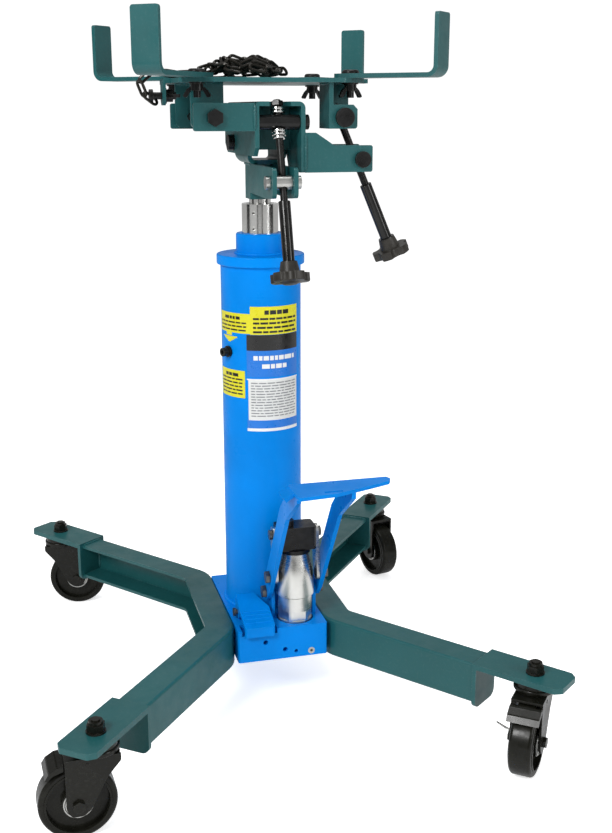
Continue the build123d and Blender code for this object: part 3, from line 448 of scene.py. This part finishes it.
def chain_route():
    """From the lug over the table's edge, then round and round on the plate."""
    plate = TABLE_TOP + 0.0062
    bolt = (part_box("chain_bolt")[0][2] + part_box("chain_bolt")[1][2]) / 2
    lug = [(-0.1485, 0.0, bolt), (-0.156, 0.0, bolt - 0.004), (-0.1655, -0.001, bolt + 0.003),
           (-0.169, -0.001, bolt + 0.012)]
    edge = [(-0.166, -0.001, plate - 0.006), (-0.157, -0.002, plate + 0.002), (-0.142, -0.003, plate + 0.003)]
    route = [Vector(p) for p in lug + edge + [(-0.122, -0.006, plate), (-0.100, -0.012, plate + 0.001)]]
    turns = 3.3
    steps = 150
    for i in range(steps):
        t = i / (steps - 1)
        angle = math.radians(150) - 2 * math.pi * turns * t
        wobble = 1 + 0.10 * math.sin(5 * angle + 1.0) + 0.07 * math.sin(8.3 * angle)
        rx = (0.052 - 0.030 * t) * wobble
        ry = (0.045 - 0.026 * t) * wobble
        z = plate + 0.0125 * min(1.0, t * 1.35) + 0.0025 * (1 + math.sin(7.1 * angle)) * min(1, 4 * t)
        route.append(Vector((-0.031 + rx * math.cos(angle), -0.048 + ry * math.sin(angle), z)))
    return route


def hold_down_chain():
    rng = random.Random(7)
    shape = Shape()
    for number, (centre, along) in enumerate(resample(chain_route(), LINK_PITCH)):
        side = along.cross(Vector((0, 0, 1))).normalized()
        turn = math.radians(45 if number % 2 else -45) + rng.uniform(-0.3, 0.3)
        side = Quaternion(along, turn) @ side
        shape.tube(link_loop(centre, along, side), LINK_WIRE, closed=True)
    loose = [(-0.086, -0.046, 0.012, 0.5), (-0.060, -0.070, 0.011, 2.2), (0.010, -0.030, 0.012, 1.1),
             (-0.020, -0.078, 0.013, 0.2), (-0.052, -0.030, 0.015, 2.7)]
    for x, y, z, heading in loose:
        along = Vector((math.cos(heading), math.sin(heading), 0.25)).normalized()
        side = Quaternion(along, 0.9) @ along.cross(Vector((0, 0, 1))).normalized()
        shape.tube(link_loop(Vector((x, y, TABLE_TOP + z)), along, side), LINK_WIRE, closed=True)
    chain = shape.make("hold_down_chain", CHAIN, "table")
    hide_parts("chain")


# ---------------------------------------------------------------- screw threads and washers
ROD_R = 0.00505
THREAD_PITCH = 0.00175
TRUNNION_HALF = 0.0105
SLEEVE_GAP = 0.012  # the lower thread is this much shorter than the way to the sleeve
FRONT_WASHERS = ((-0.0172, 0.0098), (-0.0128, 0.0098), (0.0128, 0.0098), (0.0172, 0.0098), (0.0212, 0.0082))


def threads(shape, start, axis, length):
    """Stacked thread crests over a rod."""
    profile = [(0.0, ROD_R - 0.0006)]
    for i in range(int(length / THREAD_PITCH)):
        profile.append(((i + 0.5) * THREAD_PITCH, ROD_R + 0.0003))
        profile.append(((i + 1) * THREAD_PITCH, ROD_R - 0.0005))
    shape.lathe(start, axis, profile, 24)


def ring_profile(half, outer, bore):
    """A flat ring with broken outer edges; half is half its thickness."""
    edge = min(half * 0.4, 0.0008)
    return [(-half, bore), (-half, outer - edge), (-half + edge, outer),
            (half - edge, outer), (half, outer - edge), (half, bore)]


def screw_details(prefix, above):
    """The thread on both sides of the upper trunnion, and the bright washers of the front screw."""
    joint = joints[prefix + "_screw_spin"]
    top = Vector(joint["pos_m"])
    down = Vector(joint["axis"]).normalized()
    thread = Shape()
    threads(thread, top + down * TRUNNION_HALF, down, SLEEVE_AT[prefix] - SLEEVE_GAP)
    threads(thread, top - down * above, down, above - TRUNNION_HALF)
    thread.make(prefix + "_thread", OXIDE, prefix + "_rod")
    if prefix == "front":
        bright = Shape()
        for at, outer in FRONT_WASHERS:
            bright.washer(top + down * at, down, ring_profile(0.0017, outer, 0.0049), 32)
        bright.make("front_washers", CHROME, "front_upper")


# ---------------------------------------------------------------- welds
BEAD = 0.0026
LEG_BEAD = 0.0028
YOKE_BEAD = 0.0024


def weld(shape, start, end, size, rng):
    """A rippled fillet bead from start to end."""
    start, end = Vector(start), Vector(end)
    count = max(6, int((end - start).length / 0.0016))
    points = []
    radii = []
    for i in range(count + 1):
        t = i / count
        points.append(start.lerp(end, t) + Vector((0, 0, rng.uniform(-1, 1) * size * 0.08)))
        taper = min(1.0, 0.45 + 4 * t, 0.45 + 4 * (1 - t))
        radii.append(size * taper * (0.9 + 0.16 * math.sin(i * 2.2)))
    shape.tube(points, radii)


def leg_welds():
    """Beads where each channel meets its caster pad."""
    web_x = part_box("base_block")[1][0]
    bend_y = 0.112
    along = (0.622, 0.783)  # the direction of the channel beyond its bend
    reach = 0.2610  # from the bend to the pad
    for side, tag in ((-1, "left"), (1, "right")):
        rng = random.Random(11 + side)
        shape = Shape()
        for end in (-1, 1):
            foot = Vector((side * (web_x + reach * along[0]), end * (bend_y + reach * along[1]), 0))
            out = Vector((side * along[1], -end * along[0], 0))
            top = foot + Vector((0, 0, 0.1332))
            weld(shape, top + out * 0.002, top + out * 0.042, LEG_BEAD, rng)
            low = foot - out * 0.0002
            weld(shape, low + Vector((0, 0, 0.0760)), low + Vector((0, 0, 0.1310)), LEG_BEAD, rng)
            inner = foot + out * 0.0055
            weld(shape, inner + Vector((0, 0, 0.0795)), inner + Vector((0, 0, 0.1265)), BEAD, rng)
        shape.make("welds_leg_" + tag, TEAL, "base")


def ring_weld(shape, centre, radius, size, rng):
    """A rippled bead all round a tube's foot."""
    count = int(2 * math.pi * radius / 0.0019)
    points = []
    radii = []
    for i in range(count):
        angle = 2 * math.pi * i / count
        reach = radius + rng.uniform(-1, 1) * size * 0.06
        points.append(Vector(centre) + Vector((reach * math.cos(angle), reach * math.sin(angle), 0)))
        radii.append(size * (0.9 + 0.16 * math.sin(i * 2.2)))
    shape.tube(points, radii, closed=True)


def other_welds():
    """Beads at the column's foot, the gland collar, the post's bracket and the table's ears."""
    rng = random.Random(5)
    column = Shape()
    ring_weld(column, (0, 0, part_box("outer_tube")[0][2] + 0.0008), TUBE_R + 0.0008, 0.0032, rng)
    ring_weld(column, (0, 0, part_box("gland_collar")[0][2] + 0.0006), 0.0368, 0.0022, rng)
    column.make("welds_column", BLUE, "base")
    post = Shape()
    half = 0.018
    foot = 0.8127
    corners = [(-half, -half, foot), (half, -half, foot), (half, half, foot), (-half, half, foot)]
    for first, second in zip(corners, corners[1:] + corners[:1]):
        weld(post, first, second, BEAD, rng)
    post.make("welds_post", TEAL, "post")
    ears = Shape()
    under = TABLE_TOP - 0.0062
    for y in (-0.078, -0.070, 0.058, 0.066):
        weld(ears, (-0.110, y, under), (-0.069, y, under), BEAD, rng)
    weld(ears, (0.0765, -0.078, under), (0.109, -0.078, under), BEAD, rng)
    weld(ears, (0.0705, -0.120, under), (0.0705, -0.074, under), BEAD, rng)
    ears.make("welds_ears", TEAL, "table")
    yoke = Shape()
    for y in (-0.1302, 0.0762):
        weld(yoke, (-0.0352, y, 0.8630), (-0.0352, y, 0.8950), YOKE_BEAD, rng)
    for y in (-0.1302, -0.0638):
        weld(yoke, (0.0352, y, 0.8080), (0.0352, y, 0.8560), YOKE_BEAD, rng)
    yoke.make("welds_yoke", TEAL, "yoke")


# ---------------------------------------------------------------- labels on the tube
FOIL = 0.00012
LABEL_LIFT = 0.00025  # how far each layer stands off the tube
EDGE_LIFT = 0.0004
DASH_LIFT = 0.0005


def cell(shape, start, stop, low, high, lift):
    """A thin curved panel between two angles, in degrees, and two heights."""
    count = max(2, int(abs(stop - start) / 3))
    verts = []
    for shell in (0.0, FOIL):
        radius = TUBE_R + lift + shell
        for row in (low, high):
            for i in range(count + 1):
                angle = math.radians(start + (stop - start) * i / count)
                verts.append((radius * math.cos(angle), radius * math.sin(angle), row))
    width = count + 1
    faces = []
    for i in range(count):
        faces.append((i, i + 1, width + i + 1, width + i))
        faces.append((2 * width + i, 2 * width + i + 1, 3 * width + i + 1, 3 * width + i))
        faces.append((i, i + 1, 2 * width + i + 1, 2 * width + i))
        faces.append((width + i, width + i + 1, 3 * width + i + 1, 3 * width + i))
    faces.append((0, width, 3 * width, 2 * width))
    faces.append((count, width + count, 3 * width + count, 2 * width + count))
    shape.add(verts, faces)


def patch(name, material, start, stop, low, high, lift=LABEL_LIFT):
    """One plain label."""
    shape = Shape()
    cell(shape, start, stop, low, high, lift)
    shape.make(name, material, "base")


def dashes(name, material, rows, seed):
    """Rows of plain dashes; each row is start and stop angle, middle height and dash height."""
    rng = random.Random(seed)
    shape = Shape()
    for start, stop, middle, tall in rows:
        at = start
        while at < stop - 2:
            end = min(stop, at + rng.uniform(4, 13))
            cell(shape, at, end, middle - tall / 2, middle + tall / 2, DASH_LIFT)
            at = end + 1.6
    shape.make(name, material, "base")


def labels():
    """Coloured panels with plain dashes in place of any writing."""
    patch("label_yellow_left", YELLOW, 180, 241.5, 0.5700, 0.5995)
    patch("label_yellow_right", YELLOW, 241.5, 318, 0.5690, 0.6105)
    patch("label_arrow_stem", YELLOW, 199, 211, 0.5655, 0.5700)
    for i in range(5):
        half = 15 - 3 * i
        drop = 0.0017 * i
        patch("label_arrow_%d" % i, YELLOW, 206 - half, 206 + half, 0.5625 - drop, 0.5643 - drop)
    patch("label_yellow_low", YELLOW, 180, 233, 0.4720, 0.5135)
    patch("label_band_black", LABEL_BLACK, 236, 318, 0.5450, 0.5685)
    patch("label_band_blue", LABEL_BLUE, 236, 318, 0.5050, 0.5450)
    patch("label_edge_white", WHITE, 236, 318, 0.5005, 0.5025, lift=EDGE_LIFT)
    patch("label_panel", GREY, 238, 317, 0.4390, 0.5005)
    patch("label_footer", LABEL_BLUE, 236, 318, 0.4265, 0.4390)
    patch("label_footer_line", WHITE, 236, 318, 0.4220, 0.4265)
    head = [(262, 300, 0.6020, 0.0062), (196, 226, 0.5925, 0.0045), (196, 222, 0.5065, 0.0048)]
    fine = [(246, 314, 0.5925 - 0.0065 * i, 0.0030) for i in range(4)]
    fine += [(184, 236, 0.5855 - 0.0055 * i, 0.0022) for i in range(3)]
    fine += [(184, 229, 0.5000 - 0.0055 * i, 0.0022) for i in range(5)]
    dashes("label_dashes_dark", LABEL_BLACK, head + fine, 3)
    dashes("label_dashes_light", WHITE, [(246, 310, 0.5340, 0.0066), (258, 298, 0.5215, 0.0066)], 4)
    grey = [(242, 313, 0.4960 - 0.0042 * i, 0.0015) for i in range(13)]
    dashes("label_dashes_grey", DASH_GREY, grey, 5)


# ---------------------------------------------------------------- casters
def caster_details(tag):
    """A raised rim and a bright bearing ring on both faces of the wheel, and one fork's split pin."""
    spin = joints["wheel_" + tag]
    centre = Vector(spin["pos_m"])
    axis = Vector(spin["axis"]).normalized()
    wheel = Shape()
    hub = Shape()
    rim = [(0.0, 0.0395), (0.0011, 0.0400), (0.0011, 0.0425), (0.0, 0.0430), (-0.001, 0.0412)]
    for hand in (-1, 1):
        wheel.washer(centre + axis * hand * 0.0159, axis * hand, rim, 48)
        hub.washer(centre + axis * hand * 0.0168, axis * hand, ring_profile(0.0009, 0.0192, 0.0176), 48)
    if tag == "fr":
        tip = Shape()
        start = centre - axis * 0.0222 + Vector((0, 0, 0.008))
        middle = start - axis * 0.009 + Vector((0, 0, 0.002))
        end = start - axis * 0.022 + Vector((0, 0, 0.008))
        tip.tube([start, middle, end], [0.0012, 0.0018, 0.0013])
        tip.make("axle_split_pin", STEEL, "fork_fr")
    wheel.make("wheel_detail_" + tag, WHEEL, "wheel_" + tag)
    hub.make("hub_rings_" + tag, STEEL, "wheel_" + tag)


# ---------------------------------------------------------------- build the extra pieces
hold_down_chain()
screw_details("front", above=0.030)
screw_details("side", above=0.0185)
labels()
leg_welds()
other_welds()
for tag in ("fl", "fr", "rl", "rr"):
    caster_details(tag)


# ---------------------------------------------------------------- floor, light and camera
def area_light(name, place, target, size, power):
    light = bpy.data.lights.new(name, "AREA")
    light.shape = "RECTANGLE"
    light.size, light.size_y = size
    light.energy = power
    lamp = bpy.data.objects.new(name, light)
    lamp.location = place
    lamp.rotation_euler = (Vector(target) - Vector(place)).to_track_quat("-Z", "Y").to_euler()
    bpy.context.collection.objects.link(lamp)


def multiply_add(tree, source, factor, offset):
    made = tree.nodes.new("ShaderNodeMath")
    made.operation = "MULTIPLY_ADD"
    made.inputs[1].default_value = factor
    made.inputs[2].default_value = offset
    tree.links.new(source, made.inputs[0])
    return made.outputs["Value"]


def studio():
    """A banded world for reflections, an even one for diffuse light and a brighter one for the camera."""
    world = bpy.data.worlds.new("studio")
    bpy.context.scene.world = world
    world.use_nodes = True
    tree = world.node_tree
    back = tree.nodes["Background"]
    place = tree.nodes.new("ShaderNodeTexCoord")
    split = tree.nodes.new("ShaderNodeSeparateXYZ")
    tree.links.new(place.outputs["Generated"], split.inputs["Vector"])
    ramp = tree.nodes.new("ShaderNodeValToRGB")
    greys = [(0.0, 0.9), (0.22, 0.95), (0.30, 0.16), (0.42, 0.12), (0.52, 0.95), (0.66, 1.0), (0.76, 0.20),
             (0.86, 0.75), (1.0, 0.95)]
    set_stops(ramp, [(position, (value, value, value)) for position, value in greys])
    tree.links.new(multiply_add(tree, split.outputs["X"], 0.5, 0.5), ramp.inputs["Fac"])
    ray = tree.nodes.new("ShaderNodeLightPath")
    plain = tree.nodes.new("ShaderNodeMix")
    plain.data_type = "RGBA"
    plain.inputs[6].default_value = (0.95, 0.95, 0.95, 1)
    tree.links.new(ray.outputs["Is Glossy Ray"], plain.inputs["Factor"])
    tree.links.new(ramp.outputs["Color"], plain.inputs[7])
    tree.links.new(plain.outputs[2], back.inputs["Color"])
    tree.links.new(multiply_add(tree, ray.outputs["Is Camera Ray"], 0.55, 0.55), back.inputs["Strength"])
    bpy.context.scene.view_settings.view_transform = "Standard"


def stage_quad(name, corners, material):
    """A flat four-cornered piece of the set."""
    mesh = bpy.data.meshes.new(name)
    mesh.from_pydata([tuple(c) for c in corners], [], [(0, 1, 2, 3)])
    mesh.materials.append(material)
    obj = bpy.data.objects.new(name, mesh)
    bpy.context.collection.objects.link(obj)
    return obj


def floor():
    size = 12.0
    corners = [(-size, -size, 0), (size, -size, 0), (size, size, 0), (-size, size, 0)]
    n = Nodes("studio_floor")
    n.uniform(Base_Color=(0.93, 0.93, 0.93, 1), Roughness=0.9, Emission_Color=(1, 1, 1, 1))
    seen = n.node("ShaderNodeLightPath").outputs["Is Camera Ray"]
    n.link(n.math("MULTIPLY", seen, 0.62), n.shader.inputs["Emission Strength"])
    stage_quad("floor", corners, n.material)


def flag(name, azimuth, distance, width):
    """A tall dark card beside the set, there only to give the bright metal its dark bands."""
    angle = math.radians(azimuth)
    centre = Vector((math.cos(angle), math.sin(angle), 0)) * distance
    side = Vector((-math.sin(angle), math.cos(angle), 0)) * width / 2
    tall = Vector((0, 0, 1.5))
    n = Nodes(name)
    n.uniform(Base_Color=(0.01, 0.01, 0.01, 1), Roughness=0.8)
    corners = [centre - side, centre + side, centre + side + tall, centre - side + tall]
    obj = stage_quad(name, corners, n.material)
    obj.visible_camera = False
    obj.visible_shadow = False
    obj.visible_diffuse = False


CAMERA_AZIMUTH = -15.0
CAMERA_PITCH = 15.0
CAMERA_DISTANCE = 1.7807
CAMERA_TARGET = Vector((0.0657, -0.0176, 0.4291))
CAMERA_LENS = 49.7


def camera():
    azimuth = math.radians(CAMERA_AZIMUTH)
    pitch = math.radians(CAMERA_PITCH)
    level = math.cos(pitch)
    forward = Vector((-math.sin(azimuth) * level, math.cos(azimuth) * level, -math.sin(pitch)))
    data = bpy.data.cameras.new("camera")
    data.lens = CAMERA_LENS
    data.sensor_width = 36.0
    obj = bpy.data.objects.new("camera", data)
    obj.location = CAMERA_TARGET - forward * CAMERA_DISTANCE
    obj.rotation_euler = forward.to_track_quat("-Z", "Y").to_euler()
    bpy.context.collection.objects.link(obj)
    bpy.context.scene.camera = obj


studio()
floor()
flag("flag_left", 178, 1.5, 0.62)
flag("flag_right", -28, 1.5, 0.85)
flag("flag_front", -118, 2.6, 0.30)
area_light("key", (-2.0, -1.9, 2.3), (0, 0, 0.45), (0.9, 0.9), 72)
area_light("fill", (1.9, -2.2, 1.3), (0, 0, 0.4), (0.8, 1.4), 26)
area_light("top", (0.2, 0.3, 2.9), (0, 0, 0.5), (1.2, 1.2), 18)
camera()
